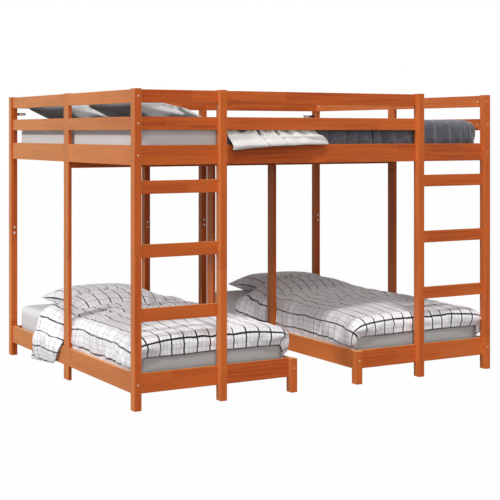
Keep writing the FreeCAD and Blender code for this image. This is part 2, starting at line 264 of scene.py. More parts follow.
grain = {
    "strip": 0.045, "jointLength": 0.36,                  # glued strips, and the lengths in each
    "zig": 0.0025, "zigReach": 3.0, "stripShift": 7.37, "jointLine": (0.0008, 0.0028),
    "lengthShift": 0.7, "stretch": 0.16, "wander": (3.0, 2.0, 0.45), "wanderReach": 0.16,
    "rings": 46.0, "lateWood": (0.45, 0.97),
    # stretch along and across, detail and roughness of three sizes of streak
    "fibre": ((6.0, 380.0, 380.0), 3.0, 0.6), "middle": ((2.6, 78.0, 78.0), 3.0, 0.6),
    "broad": ((1.3, 34.0, 34.0), 2.0, 0.5), "middleEdge": (0.38, 0.66), "broadEdge": (0.3, 0.7),
    "streak": (0.56, 0.14, 0.26), "light": (0.42, 0.34, 0.5, -0.2), "height": (0.6, -0.4),
}


def makeGrainGroup():
    # x runs along the board, y and z across it, in metres
    t, gin, gout = newGroup("pineGrain", [
        ("Along", "NodeSocketVector"), ("Tone", "NodeSocketFloat", 0.5),
        ("Strip", "NodeSocketFloat", grain["strip"]),
        ("Joint Length", "NodeSocketFloat", grain["jointLength"]),
    ], [("Light", "NodeSocketFloat"), ("Streak", "NodeSocketFloat"), ("Height", "NodeSocketFloat")])
    place = gin.outputs["Along"]
    x, y, z = t.split(place)
    # finger joints: glued strips, each made of lengths with their own tone
    strip = t.math("FLOOR", t.math("DIVIDE", y, gin.outputs["Strip"]))
    zig = t.times(t.math("PINGPONG", t.plus(y, z), grain["zig"]), grain["zigReach"])
    along = t.math("DIVIDE", t.plus(x, zig), gin.outputs["Joint Length"])
    spot = {"W": t.plus(along, t.times(strip, grain["stripShift"])), "Scale": 1.0}
    cell = t.add("ShaderNodeTexVoronoi", spot, voronoi_dimensions="1D")
    cellTone = t.add("ShaderNodeSeparateColor", {0: cell.outputs["Color"]}).outputs
    edge = t.add("ShaderNodeTexVoronoi", spot, voronoi_dimensions="1D", feature="DISTANCE_TO_EDGE")
    jointLine = t.ramp(edge.outputs["Distance"], *grain["jointLine"], 1.0, 0.0)
    # grain: rings cut lengthways, wandering slowly, with fibres between them
    shiftBy = t.times(cellTone[0], grain["lengthShift"])
    shifted = t.add("ShaderNodeCombineXYZ", {0: t.times(x, grain["stretch"]), 1: t.plus(y, shiftBy), 2: z})
    wander = t.times(t.noise(shifted.outputs[0], *grain["wander"]), grain["wanderReach"])
    ringPlace = t.plus(t.plus(y, z), t.plus(shiftBy, wander))
    lateWood = t.ramp(t.math("FRACT", t.times(ringPlace, grain["rings"])), *grain["lateWood"])
    fibre, middle, broad = (t.noise(t.scaled(place, grain[size][0]), 1.0, *grain[size][1:])
                            for size in ("fibre", "middle", "broad"))
    bands = (t.ramp(middle, *grain["middleEdge"]), t.ramp(broad, *grain["broadEdge"]), lateWood)
    tones = [t.minus(value, 0.5) for value in (cellTone[1], gin.outputs["Tone"], fibre)]
    t.fill(gout, {
        "Streak": t.total(*zip(bands, grain["streak"])),
        "Light": t.total(*zip((*tones, jointLine), grain["light"])),
        "Height": t.total(*zip((fibre, lateWood), grain["height"]))})
    return t.tree


weave = {
    "thread": 0.0009, "threadShare": 0.02,
    "big": (9.0, 4.0, 0.55, 0.6), "fine": (42.0, 3.0, 0.6, 0.3),    # scale, detail, roughness, distortion
    "bigShare": 0.7, "fineShare": 0.3, "shade": 0.9, "shadeSpread": 0.2,
}


def makeWeaveGroup():
    t, gin, gout = newGroup("plainWeave", [
        ("Place", "NodeSocketVector"), ("Thread", "NodeSocketFloat", weave["thread"]),
        ("Crumple", "NodeSocketFloat", 1.0),
    ], [("Height", "NodeSocketFloat"), ("Shade", "NodeSocketFloat")])
    place, thread = gin.outputs["Place"], gin.outputs["Thread"]
    ways = t.split(place)
    warp, weft = (t.math("PINGPONG", ways[k], thread) for k in range(2))
    cloth = t.math("DIVIDE", t.plus(warp, weft), thread)
    big, fine = t.noise(place, *weave["big"]), t.noise(place, *weave["fine"])
    crumple = t.total((big, weave["bigShare"]), (fine, weave["fineShare"]))
    # Shade darkens the colour a little in the troughs of the fine crumples that also make the bump: painted
    # shade in the creases
    t.fill(gout, {
        "Height": t.total((crumple, gin.outputs["Crumple"]), (cloth, weave["threadShare"])),
        "Shade": t.plus(weave["shade"], t.times(fine, weave["shadeSpread"]))})
    return t.tree


gridCheck = {
    "pitch": 0.061, "line": 0.0030, "thinLine": 0.0010, "blur": 0.0007,
    "thinShare": 0.65, "thinStrength": 0.58, "cross": 0.45,
    "lineColour": srgb(24, 24, 28), "thinColour": srgb(132, 130, 134),
}


def makeCheckGroup():
    # bold lines both ways with two thin ones between them
    t, gin, gout = newGroup("gridCheck", [
        ("Place", "NodeSocketVector"), ("Pitch", "NodeSocketFloat", gridCheck["pitch"]),
        ("Line", "NodeSocketFloat", gridCheck["line"]),
        ("Thin Line", "NodeSocketFloat", gridCheck["thinLine"]),
        ("Cross Strength", "NodeSocketFloat", gridCheck["cross"]),
    ], [("Bold", "NodeSocketFloat"), ("Thin", "NodeSocketFloat")])
    ways, pitch = t.split(gin.outputs["Place"]), gin.outputs["Pitch"]
    half, third = t.times(pitch, 1 / 2), t.times(pitch, 1 / 3)
    def line(away, width):
        return t.ramp(away, width, t.plus(width, gridCheck["blur"]), 1.0, 0.0)
    bold, thin = [], []
    for axis in (0, 1):
        away = t.math("PINGPONG", ways[axis], half)
        bold.append(line(away, gin.outputs["Line"]))
        thinMask = line(t.math("ABSOLUTE", t.minus(away, third)), gin.outputs["Thin Line"])
        thin.append(t.times(thinMask, gridCheck["thinShare"]))
    # lines across are faint, but for the one at the foot
    foot = t.math("LESS_THAN", t.math("ABSOLUTE", ways[1]), half)
    crossShare = t.math("MAXIMUM", foot, gin.outputs["Cross Strength"])
    t.fill(gout, {"Bold": t.math("MAXIMUM", bold[0], t.times(bold[1], crossShare)),
                  "Thin": t.plus(*thin, clamp=True)})
    return t.tree


grainGroup = makeGrainGroup()
weaveGroup = makeWeaveGroup()
checkGroup = makeCheckGroup()

# materials

pine = {
    "dark": srgb(148, 48, 9), "base": srgb(187, 78, 22), "light": srgb(204, 102, 40), "lightShare": 0.3,
    "rough": 0.44, "roughStreak": -0.08, "bump": 0.05, "bumpHeight": 0.001, "specular": 0.22,
    # the satin coat shows where a face turns away
    "sideGloss": 0.12, "sideFrom": (0.14, 0.56), "facing": 0.5, "coatRough": 0.35,
    "sheen": 0.76, "sheenRough": 0.50, "sheenTint": (1.0, 0.69, 0.28, 1.0),
}


def makePine():
    material, t, shader = newMaterial("stainedPine")
    along = t.attribute("grainSpot", "Vector")
    board = t.group(grainGroup, {"Along": along, "Tone": t.attribute("boardTone")})
    streaked = t.blend(board["Streak"], pine["base"], pine["dark"])
    lightUp = t.plus(pine["lightShare"], board["Light"], clamp=True)
    facing = t.add("ShaderNodeLayerWeight", {"Blend": pine["facing"]}).outputs["Facing"]
    t.fill(shader, {
        "Base Color": t.blend(lightUp, streaked, pine["light"]),
        "Roughness": t.plus(pine["rough"], t.times(board["Streak"], pine["roughStreak"])),
        "Normal": t.bump(pine["bump"], pine["bumpHeight"], board["Height"]),
        "Coat Weight": t.ramp(facing, *pine["sideFrom"], 0.0, pine["sideGloss"]),
        "Coat Roughness": pine["coatRough"], "Specular IOR Level": pine["specular"],
        "Sheen Weight": pine["sheen"], "Sheen Roughness": pine["sheenRough"],
        "Sheen Tint": pine["sheenTint"]})
    return material


cotton = {
    "rough": 0.85, "sheenRough": 0.5, "specular": 0.25, "bump": 0.6,
    # hem: the ramp that sets the width of the dark edge line, which is partly the cover's edge line and
    # partly painted shadow
    "hem": (0.62, 0.86), "seamBlur": 1.6,
}


def makeCotton(name, colour, crumple=1.0, bumpDistance=0.004, check=None, sheen=0.15, uv=True,
               paintedShadeColour=None, seams=()):
    material, t, shader = newMaterial(name)
    if uv:
        place = t.add("ShaderNodeUVMap", uv_map="cut").outputs["UV"]
    else:
        place = t.add("ShaderNodeTexCoord").outputs["Object"]
    cloth = t.group(weaveGroup, {"Place": place, "Crumple": crumple})
    # painted crease shade from the weave's Shade output
    tone = t.blend(cloth["Shade"], black, colour)
    if check:
        lines = t.group(checkGroup, {
            "Place": place, "Pitch": check["pitch"], "Line": check["line"], "Thin Line": check["thinLine"],
            "Cross Strength": check["cross"]})
        tone = t.blend(t.times(lines["Thin"], check["thinStrength"]), tone, check["thinColour"])
        # a dark line along every edge of the cover: partly the cover's edge line, partly painted shadow under
        # the edge
        dark = t.math("MAXIMUM", lines["Bold"], t.ramp(t.attribute("hemLine"), *cotton["hem"]))
        tone = t.blend(dark, tone, check["lineColour"])
    if paintedShadeColour:  # painted shade: mixed towards the darker colour where the shade attribute is set
        tone = t.blend(t.attribute("reverseSide"), tone, paintedShadeColour)
    for seamAt, width, seamColour in seams:
        off = t.math("ABSOLUTE", t.minus(t.split(place)[0], seamAt))
        tone = t.blend(t.ramp(off, width, width * cotton["seamBlur"], 1.0, 0.0), tone, seamColour)
    t.fill(shader, {
        "Base Color": tone, "Normal": t.bump(cotton["bump"], bumpDistance, cloth["Height"]),
        "Roughness": cotton["rough"], "Specular IOR Level": cotton["specular"],
        "Sheen Weight": sheen, "Sheen Roughness": cotton["sheenRough"]})
    return material


plain = {"mottle": (3.0, 0.6), "darker": 0.8, "roughSpread": 0.12, "bump": 0.15, "bumpHeight": 0.0004}


def makePlain(name, colour, rough, metal=0.0, speckle=60.0):
    material, t, shader = newMaterial(name)
    spots = t.noise(t.add("ShaderNodeTexCoord").outputs["Object"], speckle, *plain["mottle"])
    darker = tuple(c * plain["darker"] for c in colour[:3]) + (1.0,)
    spread = plain["roughSpread"]
    t.fill(shader, {
        "Base Color": t.blend(spots, darker, colour), "Metallic": metal,
        "Roughness": t.plus(rough - spread / 2, t.times(spots, spread)),
        "Normal": t.bump(plain["bump"], plain["bumpHeight"], spots)})
    return material


pineMaterial = makePine()
checkCotton = makeCotton("checkCotton", srgb(229, 228, 231), check=gridCheck, sheen=0.5)
# the darker second colour is painted shade, on the pillow flanks that face away from the light
greyCotton = makeCotton("greyCotton", srgb(180, 179, 179), crumple=1.2, paintedShadeColour=srgb(88, 88, 91))
duvetSeams = (  # place along the bed, half width and colour
    (0.3040, 0.0026, srgb(34, 34, 40)), (0.4290, 0.0010, srgb(124, 124, 132)),
    (0.9170, 0.0020, srgb(40, 40, 46)), (0.9230, 0.0010, srgb(138, 138, 146)))
darkCotton = makeCotton("darkCotton", srgb(80, 80, 88), crumple=1.3, bumpDistance=0.012, sheen=0.3,
                        seams=duvetSeams)
paleCotton = makeCotton("paleCotton", srgb(197, 195, 192), crumple=0.8)
# the darker second colour is painted shade, on the lower mattresses' front faces
sheetJersey = makeCotton("sheetJersey", srgb(204, 204, 203), crumple=0.35, bumpDistance=0.003, uv=False,
                         paintedShadeColour=srgb(168, 169, 168))
zincMetal = makePlain("zincPlate", srgb(236, 232, 226), 0.32, 0.45)
boltMetal = makePlain("boltMetal", srgb(236, 222, 206), 0.35, 0.35)
screwMetal = makePlain("screwMetal", srgb(110, 70, 50), 0.5, 0.4)
blackWeb = makePlain("blackWebbing", srgb(24, 24, 26), 0.7, 0.0, 900.0)
whitePlastic = makePlain("whitePlastic", srgb(228, 228, 226), 0.4, 0.0)
print("materials ready")

# timber

timber = {
    "edge": 0.0016,      # eased edges
    "edgeSteps": 2,
    "sharp": 40,         # degrees
    "flat": 90,          # how much the large faces rule the shading
    "merge": 1,          # degrees; flatter edges than this go
    "seed": 11, "shift": ((0, 9), (-0.4, 0.4), (-0.06, 0.06)),
}
softNodes = {
    "platform_mattress", "left_bed_mattress", "right_bed_mattress", "platform_pillows",
    "left_bed_pillow", "right_bed_pillow", "platform_duvet", "left_bed_duvet", "right_bed_duvet",
}
metalNodes = {"corner_bolts", "barrel_nuts", "post_cam_locks", "wall_straps", "wall_strap_plates"}
timberNodes = sorted(set(nodes) - softNodes - metalNodes)
dice = random.Random(timber["seed"])


def dressTimber(name):
    mesh = nodes[name].data.copy()
    mesh.name = name + "_timber"
    piece = link(bpy.data.objects.new(name + "_timber", mesh))
    bm = bmesh.new()
    bm.from_mesh(mesh)
    bmesh.ops.remove_doubles(bm, verts=bm.verts, dist=weld)
    bmesh.ops.dissolve_limit(bm, angle_limit=math.radians(timber["merge"]), verts=bm.verts, edges=bm.edges)
    spotLayer = bm.verts.layers.float_vector.new("grainSpot")
    toneLayer = bm.verts.layers.float.new("boardTone")
    for board, low, high in looseParts(bm):
        size = high - low
        long = max(range(3), key=lambda k: size[k])
        sides = sorted((k for k in range(3) if k != long), key=lambda k: -size[k])
        offset = Vector([dice.uniform(*span) for span in timber["shift"]])
        tone = dice.random()
        for v in board:
            at = v.co - low
            v[spotLayer] = Vector((at[long], at[sides[0]], at[sides[1]])) + offset
            v[toneLayer] = tone
    bm.to_mesh(mesh)
    bm.free()
    shadeSmooth(piece)
    bevel = piece.modifiers.new("easedEdges", "BEVEL")
    bevel.width = timber["edge"]
    bevel.segments = timber["edgeSteps"]
    bevel.limit_method = "ANGLE"
    bevel.angle_limit = math.radians(timber["sharp"])
    bevel.use_clamp_overlap = True
    piece.modifiers.new("flatFaces", "WEIGHTED_NORMAL").weight = timber["flat"]
    applied(piece)
    return finishPiece(piece, pineMaterial, "pine", name)


for name in timberNodes:
    dressTimber(name)
print("timber dressed:", len(timberNodes))


# hardware, set out by Geometry Nodes

fixings = {  # radius and depth of the head, its finish and slot
    "bolt": (0.0060, 0.004, boltMetal, "bolt_steel"),
    "nut": (0.0052, 0.004, zincMetal, "zinc"),
    "cam": (0.0064, 0.004, zincMetal, "zinc"),
    "screw": (0.0032, 0.002, screwMetal, "bolt_steel"),
    "plankNut": (0.0052, 0.002, zincMetal, "zinc"),
}
headShape = {
    "sides": 20, "sharp": 35,
    "profile": ((1, -0.12), (0.9, 0), (0.45, 0), (0.42, -0.35)),    # out and up, in shares of the radius
}


def headMesh(kind, radius, depth):  # a small head that looks along +Z, with its face at z = 0
    bm = bmesh.new()
    sides = headShape["sides"]
    def ring(r, z):
        turns = [2 * math.pi * k / sides for k in range(sides)]
        return [bm.verts.new((r * math.cos(turn), r * math.sin(turn), z)) for turn in turns]
    rings = [ring(radius, -depth)] + [ring(radius * out, radius * up) for out, up in headShape["profile"]]
    for a, b in zip(rings, rings[1:]):
        for k in range(sides):
            bm.faces.new((a[k], a[(k + 1) % sides], b[(k + 1) % sides], b[k]))
    bm.faces.new(rings[-1])
    bm.faces.new(list(reversed(rings[0])))
    bmesh.ops.recalc_face_normals(bm, faces=bm.faces)
    return meshOf(bm, kind + "Head")


def makeHeadTree():  # puts one head on each point, turned the way that the point faces
    t, gin, gout = newGroup("setOutHeads", [
        ("Geometry", "NodeSocketGeometry"), ("Head", "NodeSocketObject"), ("Finish", "NodeSocketMaterial"),
        ("Scale", "NodeSocketFloat"),
    ], [("Geometry", "NodeSocketGeometry")], "GeometryNodeTree")
    points = t.add("GeometryNodeMeshToPoints", {0: gin.outputs["Geometry"]})
    head = t.add("GeometryNodeObjectInfo", {"Object": gin.outputs["Head"]})
    facing = t.add("GeometryNodeInputNamedAttribute", {"Name": "facing"}, data_type="FLOAT_VECTOR")
    align = t.add("FunctionNodeAlignRotationToVector", {"Vector": facing.outputs["Attribute"]}, axis="Z")
    spread = t.add("GeometryNodeInstanceOnPoints", {
        "Points": points.outputs[0], "Instance": head.outputs["Geometry"], "Rotation": align.outputs[0],
        "Scale": gin.outputs["Scale"]})
    real = t.add("GeometryNodeRealizeInstances", {0: spread.outputs[0]})
    paint = t.add("GeometryNodeSetMaterial", {"Geometry": real.outputs[0], "Material": gin.outputs["Finish"]})
    t.plug(gout.inputs[0], paint.outputs[0])
    return t.tree


headTree = makeHeadTree()


def setOut(name, kind, places, *replaced):
    radius, depth, material, slot = fixings[kind]
    mesh = bpy.data.meshes.new(name)
    mesh.from_pydata([p for p, _ in places], [], [])
    layer = mesh.attributes.new("facing", "FLOAT_VECTOR", "POINT")
    layer.data.foreach_set("vector", [c for _, way in places for c in way])
    piece = link(bpy.data.objects.new(name, mesh))
    head = link(bpy.data.objects.new(kind + "Pattern", headMesh(kind, radius, depth)))
    spread = piece.modifiers.new("setOut", "NODES")
    spread.node_group = headTree
    idOf = {s.name: s.identifier for s in headTree.interface.items_tree if s.in_out == "INPUT"}
    for title, value in (("Head", head), ("Finish", material), ("Scale", 1.0)):
        spread[idOf[title]] = value
    applied(piece)
    bpy.data.objects.remove(head)
    shadeSmooth(piece)
    piece.data.set_sharp_from_angle(angle=math.radians(headShape["sharp"]))
    return finishPiece(piece, material, slot, *replaced)


def solidBoxes(name):  # lowest and highest corners of each loose solid in a CAD node
    bm = bmesh.new()
    bm.from_mesh(nodes[name].data)
    bmesh.ops.remove_doubles(bm, verts=bm.verts, dist=weld)
    boxes = [(low, high) for _, low, high in looseParts(bm)]
    bm.free()
    return sorted(boxes, key=lambda b: tuple(round(c, 4) for c in b[0]))


seats = {
    "proud": 0.0006,                      # nut faces over their face, bolt heads under theirs
    "rightward": (-1.01, 0.19), "reach": 0.05,    # rows of nuts that face the right
}
bolts, nuts, cams = [], [], []
for low, high in solidBoxes("corner_bolts"):
    middle = (low + high) / 2
    side = -1 if middle.y < 0 else 1
    bolts.append(((middle.x, side * (cadBox[1][1] - seats["proud"]), middle.z), (0, side, 0)))
for low, high in solidBoxes("barrel_nuts"):
    middle = (low + high) / 2
    way = 1 if any(abs(middle.x - row) < seats["reach"] for row in seats["rightward"]) else -1
    face = high.x if way > 0 else low.x
    nuts.append(((face + way * seats["proud"], middle.y, middle.z), (way, 0, 0)))
for low, high in solidBoxes("post_cam_locks"):
    middle = (low + high) / 2
    side = 1 if middle.y < 0 else -1
    face = high.y if side > 0 else low.y
    cams.append(((middle.x, face + side * seats["proud"], middle.z), (0, side, 0)))
setOut("boltHeads", "bolt", bolts, "corner_bolts")
setOut("nutFaces", "nut", nuts, "barrel_nuts")
setOut("camFaces", "cam", cams, "post_cam_locks")

screws = {
    "shares": (0.24, 0.76),               # places up the end of a board
    "slack": 0.001, "touch": 0.002, "lift": 0.0002,
    # on the outer planks: how far in from the sides, and (y, share of the rail's height)
    "plankIn": 0.0085, "plankSpots": ((0.012, 0.78), (-0.012, 0.5), (0.012, 0.22)),
    "nutIn": 0.0265, "nutLift": 0.0003, "nutSpots": ((-0.068, 0.5), (0.069, 0.5)),
}


def sideScrews():  # two screws through each post into the end of every front and back board
    slack, touch, places = screws["slack"], screws["touch"], []
    postNames = [n for n in timberNodes if "post" in n] + ["short_front_legs"]
    posts = [b for n in postNames for b in solidBoxes(n)]
    starts = tuple(side + row for side in ("front_", "back_") for row in ("top", "mid", "plat"))
    boards = [b for n in timberNodes if n.startswith(starts) or "rungs" in n
              or n.endswith(("bed_front_rail", "bed_back_rails")) for b in solidBoxes(n)]
    def covered(spot):
        return any(all(b[0][k] - slack < spot[k] < b[1][k] + slack for k in range(3)) for b in boards)
    for low, high in boards:
        y = (low.y + high.y) / 2
        for end, way in ((low.x, -1), (high.x, 1)):
            for share in screws["shares"]:
                z = mix(low.z, high.z, share)
                post = next((p for p in posts if p[0].y - slack < y < p[1].y + slack and p[0].z < z < p[1].z
                             and abs((p[1].x if way < 0 else p[0].x) - end) < touch), None)
                if post is None:
                    continue
                x = post[0].x if way < 0 else post[1].x
                if not covered((x + way * touch, y, z)):
                    places.append(((x + way * screws["lift"], y, z), (way, 0, 0)))
    return places


def onPlanks(rail, inset, lift, outwards, spots):  # on both outer planks, at the height of a rail
    low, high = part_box(rail)
    return [((x + way * lift, y, mix(low[2], high[2], share)), (way, 0, 0))
            for x, way in ((cadBox[0][0] + inset, -outwards), (cadBox[1][0] - inset, outwards))
            for y, share in spots]


plankScrews = onPlanks("left_end_platform_rail", screws["plankIn"], screws["lift"], 1, screws["plankSpots"])
setOut("sideScrews", "screw", sideScrews() + plankScrews)
setOut("plankNuts", "plankNut",
       onPlanks("right_end_top_guard", screws["nutIn"], screws["nutLift"], -1, screws["nutSpots"]))
for name, material in (("wall_straps", blackWeb), ("wall_strap_plates", whitePlastic)):
    nodes[name].data.materials.clear()
    nodes[name].data.materials.append(material)
print("hardware set out")

# soft pieces


def gridMesh(name, nu, nv, place, cut):
    # a closed shell of two sheets that share their rim: place gives points, on layer 1 above and layer 0
    # below, and cut gives flat places; also returns which points lie on the rim or in the lower sheet
    verts, faces, uvs = [], [], []
    topIndex, lowIndex = {}, {}
    spots = [(i, j) for j in range(nv + 1) for i in range(nu + 1)]
    for layer, index in ((1, topIndex), (0, lowIndex)):
        for i, j in spots:
            if layer == 0 and (i in (0, nu) or j in (0, nv)):
                index[i, j] = topIndex[i, j]
            else:
                index[i, j] = len(verts)
                verts.append(place(i / nu, j / nv, layer))
                uvs.append(cut(i / nu, j / nv))
    for j in range(nv):
        for i in range(nu):
            corners = ((i, j), (i + 1, j), (i + 1, j + 1), (i, j + 1))
            faces.append([topIndex[c] for c in corners])
            faces.append([lowIndex[c] for c in reversed(corners)])
    mesh = bpy.data.meshes.new(name)
    mesh.from_pydata(verts, [], faces)
    layer = mesh.uv_layers.new(name="cut")
    flat = np.array([uvs[l.vertex_index] for l in mesh.loops], dtype=float)
    layer.data.foreach_set("uv", flat.ravel())
    return link(bpy.data.objects.new(name, mesh)), sorted(lowIndex.values())


def coords(mesh):
    flat = np.empty(len(mesh.vertices) * 3)
    mesh.vertices.foreach_get("co", flat)
    return flat.reshape(-1, 3)


def setCoords(obj, points):
    obj.data.vertices.foreach_set("co", points.ravel())
    obj.data.update()


cover = {"quality": 5, "mass": 0.3, "stiff": 4.0, "shear": 2.4, "bend": 0.3, "damping": 2.0}


def puff(obj, held, filling):
    # blows the cover up with Cloth, then limits how far each point may go
    before = coords(obj.data)
    group = obj.vertex_groups.new(name="held")
    group.add(held, 1.0, "REPLACE")
    cloth = obj.modifiers.new("cover", "CLOTH")
    s = cloth.settings
    s.quality = cover["quality"]
    s.mass = cover["mass"]
    s.tension_stiffness = cover["stiff"]
    s.compression_stiffness = cover["stiff"]
    s.shear_stiffness = cover["shear"]
    s.bending_stiffness = cover["bend"]
    s.air_damping = cover["damping"]
    s.vertex_group_mass = "held"
    s.use_pressure = True
    s.uniform_pressure_force = filling["pressure"]
    s.shrink_min = -filling["grow"]
    s.effector_weights.gravity = 0.0
    cloth.collision_settings.use_collision = False
    frames, scene = filling["frames"], bpy.context.scene
    cloth.point_cache.frame_start = 1
    cloth.point_cache.frame_end = frames
    scene.frame_start, scene.frame_end = 1, frames
    for k in range(1, frames + 1):
        scene.frame_set(k)
    done = obj.evaluated_get(bpy.context.evaluated_depsgraph_get()).to_mesh()
    move = coords(done) - before
    obj.modifiers.clear()
    obj.vertex_groups.clear()
    scene.frame_set(1)
    far = np.maximum(np.linalg.norm(move, axis=1, keepdims=True), 1e-9)
    setCoords(obj, before + move * np.minimum(1.0, filling["cap"] / far))


def subdivided(obj):
    soften = obj.modifiers.new("soften", "SUBSURF")
    soften.levels = soften.render_levels = 1
    applied(obj)
    shadeSmooth(obj)


def paintShadeByFacing(piece, marked, axis, start, run):  # painted shade: a darker colour where the cover faces down the axis, away from the light
    shadeLayer = piece.data.attributes.new("reverseSide", "FLOAT", "POINT")
    for vert in piece.data.vertices if marked else ():
        shadeLayer.data[vert.index].value = smooth((-vert.normal[axis] - start) / run)


# mattresses: firm slabs in a fitted sheet
mattress = {
    "edge": 0.034, "step": 0.03, "crown": 0.003, "crownRun": 0.2, "ripple": 0.0012, "rippleScale": 4.0,
    "frontShade": (0.4, 0.4), "seedStep": 7.3,    # where the painted shade on faces turned to the front starts, by facing, and its run
}


def makeMattress(node, seed):
    low, high = (Vector(c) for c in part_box(node))
    size = high - low
    cuts = [max(2, round(size[k] / mattress["step"])) for k in range(3)]
    bm = bmesh.new()
    seen = {}
    def corner(*at):
        if at not in seen:
            seen[at] = bm.verts.new(low + Vector([size[k] * at[k] / cuts[k] for k in range(3)]))
        return seen[at]
    for a, b, c in ((0, 1, 2), (1, 2, 0), (2, 0, 1)):
        for end in (0, cuts[c]):
            for i in range(cuts[a]):
                for j in range(cuts[b]):
                    quad = []
                    for di, dj in ((0, 0), (1, 0), (1, 1), (0, 1)):
                        at = [0, 0, 0]
                        at[a], at[b], at[c] = i + di, j + dj, end
                        quad.append(corner(*at))
                    bm.faces.new(quad if end else list(reversed(quad)))
    r = mattress["edge"]
    for v in bm.verts:
        core = Vector([clamp(v.co[k], low[k] + r, high[k] - r) for k in range(3)])
        out = v.co - core
        if out.length > 0:
            v.co = core + out.normalized() * r
        wave = noise.noise(v.co * mattress["rippleScale"] + Vector((seed, 0, 0)))
        top = smooth((v.co.z - low.z) / size.z)
        inside = min(v.co.x - low.x, high.x - v.co.x, v.co.y - low.y, high.y - v.co.y)
        dip = mattress["crown"] * (1 - smooth(inside / mattress["crownRun"]))
        v.co.z += top * (mattress["ripple"] * wave - dip)
    piece = link(bpy.data.objects.new(node + "_soft", meshOf(bm, node + "_soft")))
    # painted shade on the lower mattresses' front faces, which lie in shade under the duvet's hem
    paintShadeByFacing(piece, not node.startswith("platform"), 1, *mattress["frontShade"])
    subdivided(piece)
    finishPiece(piece, sheetJersey, "mattress_cover", node)
    return piece


for number, node in enumerate(("platform_mattress", "left_bed_mattress", "right_bed_mattress")):
    makeMattress(node, number * mattress["seedStep"])
print("mattresses made")

# pillows: two sheets sewn round the edge and blown up
pillow = {
    "length": 0.60, "width": 0.425, "steps": (44, 32),
    "pressure": 6.0, "grow": 0.02, "cap": 0.05, "frames": 16,
    "drawIn": (0.014, 0.011),                 # how far the sides draw in between the corners
    "lump": 0.12, "lumpScale": 6, "sway": 0.006, "checkStart": 0.061,
    "sunk": 0.012, "gap": 0.0004,             # into the mattress, and over its cover
    "flank": (0.02, 0.22),                    # facing where the painted shade on the flank starts, and its run
}
platformPillow = {"turn": 90, "tilt": 10, "height": 0.092, "full": (0.5, 0.27), "droop": 0.0}
bedPillow = {"turn": 0, "tilt": 0, "height": 0.124, "full": (0.42, 0.42), "droop": 0.032}


def makePillow(name, node, centre, kind, mattressNode, material, slot, seed):
    length, width = pillow["length"], pillow["width"]
    def arch(t):  # 1 in the middle and 0 at both ends
        return 1 - (2 * t - 1) ** 2
    def spot(u, v, layer):
        side = 1.0 if layer else -1.0
        x, y = (u - 0.5) * length, (v - 0.5) * width
        sunk = kind["droop"] * abs(2 * u - 1) ** 3 * (0.4 + 0.6 * (2 * v - 1) ** 2)
        x -= (2 * u - 1) * pillow["drawIn"][0] * arch(v) * abs(2 * u - 1)
        y -= (2 * v - 1) * pillow["drawIn"][1] * arch(u) * abs(2 * v - 1)
        at = Vector((x * pillow["lumpScale"] + seed, y * pillow["lumpScale"], side))
        bulge = (max(0.0, arch(u)) * max(0.0, arch(v))) ** mix(*kind["full"], smooth(v))
        return (x, y, side * kind["height"] * 0.5 * bulge * (1 + pillow["lump"] * noise.noise(at)) - sunk)
    def cut(u, v):
        at, sway = Vector((u * 5 + seed, v * 4, 0.0)), pillow["sway"]
        return (u * length + sway * noise.noise(at),
                v * width + pillow["checkStart"] + sway * noise.noise(at * 1.3))
    piece, _ = gridMesh(name, *pillow["steps"], spot, cut)
    puff(piece, [], pillow)
    points = coords(piece.data)
    points[:, 2] *= kind["height"] / (points[:, 2].max() - points[:, 2].min())
    setCoords(piece, points)
    piece.data.transform(Matrix.Rotation(math.radians(kind["turn"]), 4, "Z"))
    piece.data.transform(Matrix.Rotation(math.radians(kind["tilt"]), 4, "Y"))
    points = coords(piece.data)
    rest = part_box(mattressNode)[1][2]
    points += np.array((*centre, rest - points[:, 2].min() - pillow["sunk"]))
    points[:, 2] = np.maximum(points[:, 2], rest + pillow["gap"])
    setCoords(piece, points)
    paintShadeByFacing(piece, material is greyCotton, 0, *pillow["flank"])  # painted shade on the flank towards the end guard, which faces away from the light
    subdivided(piece)
    finishPiece(piece, material, slot, *([node] if node else []))
    return piece


pillows = {}
for end, node, y, seed in (("front", "platform_pillows", -0.425, 3.1), ("back", None, 0.425, 8.4)):
    makePillow("platform_pillow_" + end, node, (-0.776, y), platformPillow, "platform_mattress",
               greyCotton, "grey_cotton", seed)
for side, x, seed in (("left", -0.600, 5.7), ("right", 0.600, 9.9)):
    pillows[side] = makePillow(side + "_bed_pillow_soft", side + "_bed_pillow", (x, 0.552), bedPillow,
                               "left_bed_mattress", checkCotton, "grid_cotton", seed)
print("pillows made")

# duvets: a cut sheet laid over its mattress, with the filling blown up
lowerDuvet = {
    "bend": 0.036, "slack": 0.001, "lift": 0.0008,    # radius over the mattress edge, and gaps to it
    "thick": 0.020, "least": 0.005, "crown": 0.026, "hem": 0.007, "hemRun": 0.05,
    "sideThick": 0.009, "sideFull": 0.028, "sideRun": 0.03, "topDrop": 0.07,
    "thinFrom": 0.094, "thinTo": 0.116, "calmRun": 0.02,    # drop where it slips in beside the rail
    "foot": 0.066, "side": 0.150, "head": 0.388,      # how far it hangs, and where it ends at the pillow
    "flare": 0.024, "askew": 0.10, "flank": 0.7, "ruffle": 0.008, "ruffleFrom": -0.3, "hangFrom": 0.03,
    "crease": 0.178, "creaseDepth": 0.011, "creaseWidth": 0.026, "creaseSway": 0.02,
    "bulge": 0.056, "bulgeSpread": 0.25, "bedDrop": 0.06, "pillowGap": 0.0015,
    "step": 0.0125, "pressure": 2.0, "grow": 0.07, "cap": 0.016, "frames": 20,
    "pitch": (0.061, 0.0525), "footLine": 0.0325,     # of the bold lines, along and across
    "left": {"seed": 2.0, "firstLine": -0.4115, "pitch": 0.065, "hang": 1.5},
    "right": {"seed": 31.0, "firstLine": -0.346, "pitch": 0.061, "hang": 1.0},
}
